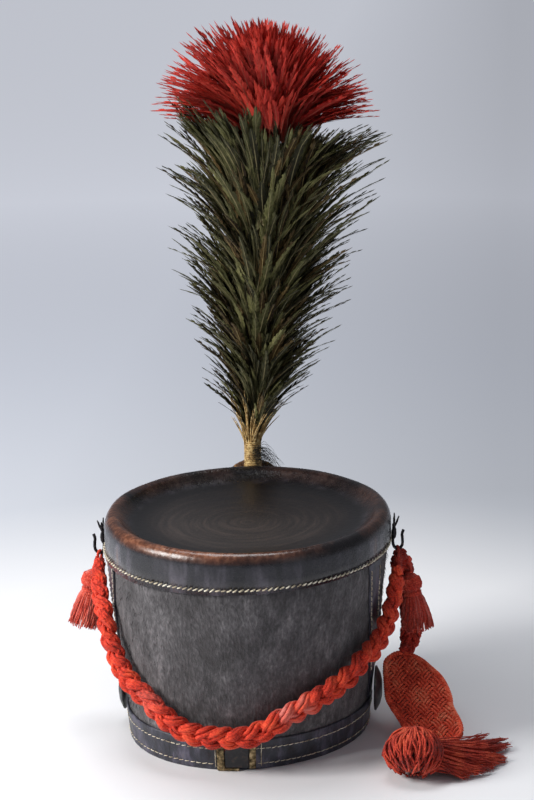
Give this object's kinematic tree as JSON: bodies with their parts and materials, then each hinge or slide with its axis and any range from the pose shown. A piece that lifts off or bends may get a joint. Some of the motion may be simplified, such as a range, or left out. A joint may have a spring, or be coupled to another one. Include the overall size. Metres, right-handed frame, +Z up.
{
  "type": "shako hat",
  "caption": "Felt shako with leather crown, headband and side strips, festooned wool cords, tassels and a tall feather plume",
  "frame": {"origin": "centre of the head opening, on the surface that the hat stands on", "axes": "+Z up through the crown, +Y to the front of the hat where the plume and the peak are, +X to the side of the large tassel"},
  "size_m": [0.3689, 0.3167, 0.557],
  "materials": {
    "felt": "napped wool and hair felt",
    "crown_leather": "worn semi-gloss black leather",
    "band_leather": "worn black leather",
    "strap_leather": "black leather",
    "aged_brass": "aged, dull",
    "black_iron": "blackened",
    "boss_leather": "dark, satin",
    "red_wool": "wool cord",
    "dark_feather": "feather",
    "red_feather": "feather",
    "quill": "straw coloured wrapping",
    "cockade_cloth": "pleated cloth"
  },
  "bodies": {
    "root": {"felt_body": "felt", "crown_leather": "crown_leather", "headband": "band_leather", "back_strap": "strap_leather", "back_buckle": "aged_brass", "keeper_bar": "aged_brass", "side_chevron_left": "crown_leather", "side_chevron_right": "crown_leather", "side_boss_left": "boss_leather", "side_boss_right": "boss_leather", "hook_left": "black_iron", "hook_right": "black_iron", "cord_loop_left": "red_wool", "cord_loop_right": "red_wool", "cockade": "cockade_cloth", "plume_socket": "band_leather", "plume_stem": "quill", "plume_lower": "dark_feather", "plume_upper": "red_feather", "festoon": "red_wool", "small_tassel_left": "red_wool", "small_tassel_right": "red_wool", "hanging_cord": "red_wool", "flounder": "red_wool", "big_tassel": "red_wool", "peak": "crown_leather"}
  },
  "joints": []
}
